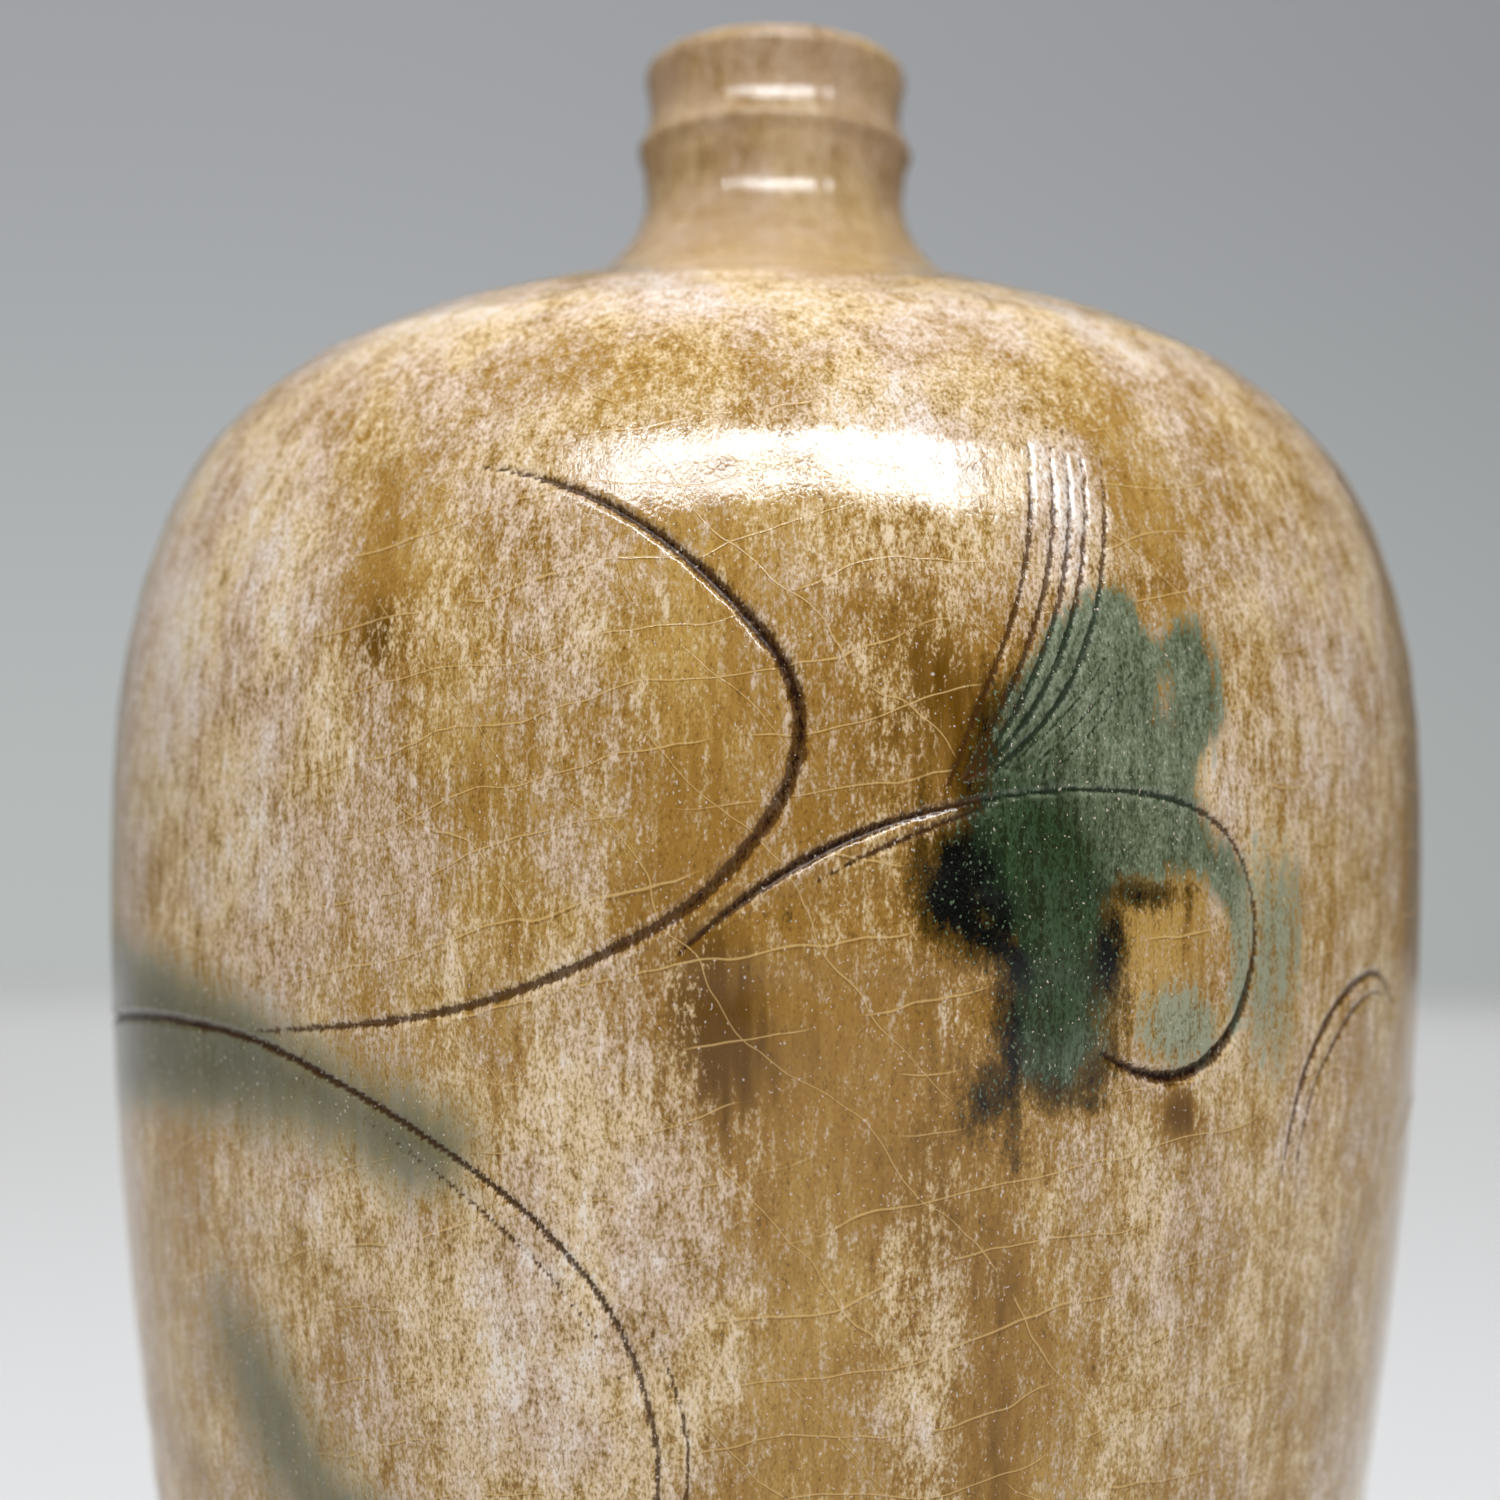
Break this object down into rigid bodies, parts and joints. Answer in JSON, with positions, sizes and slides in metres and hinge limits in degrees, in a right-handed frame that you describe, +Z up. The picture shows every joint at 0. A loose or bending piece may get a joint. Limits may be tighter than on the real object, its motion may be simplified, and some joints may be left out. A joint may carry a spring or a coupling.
{
  "type": "sake bottle",
  "caption": "Round-bodied stoneware sake bottle with a short ringed neck, amber ash glaze, cut vine lines and copper-green splashes.",
  "frame": {"origin": "centre of the foot, on the surface that the bottle stands on", "axes": "+Z up along the wheel axis, -Y towards the decorated face"},
  "size_m": [0.12, 0.1202, 0.196],
  "materials": {
    "stoneware": "unglazed",
    "ash_glaze": "gloss",
    "liner_glaze": "gloss",
    "copper_glaze": "gloss"
  },
  "bodies": {
    "root": {"clay_body": "stoneware", "clay_neck": "stoneware", "outer_glaze": "ash_glaze", "inner_glaze": "liner_glaze", "green_splash_leaf": "copper_glaze", "green_splash_vine": "copper_glaze", "green_splash_low_left": "copper_glaze", "green_splash_low_right": "copper_glaze", "green_splash_back": "copper_glaze"}
  },
  "joints": []
}
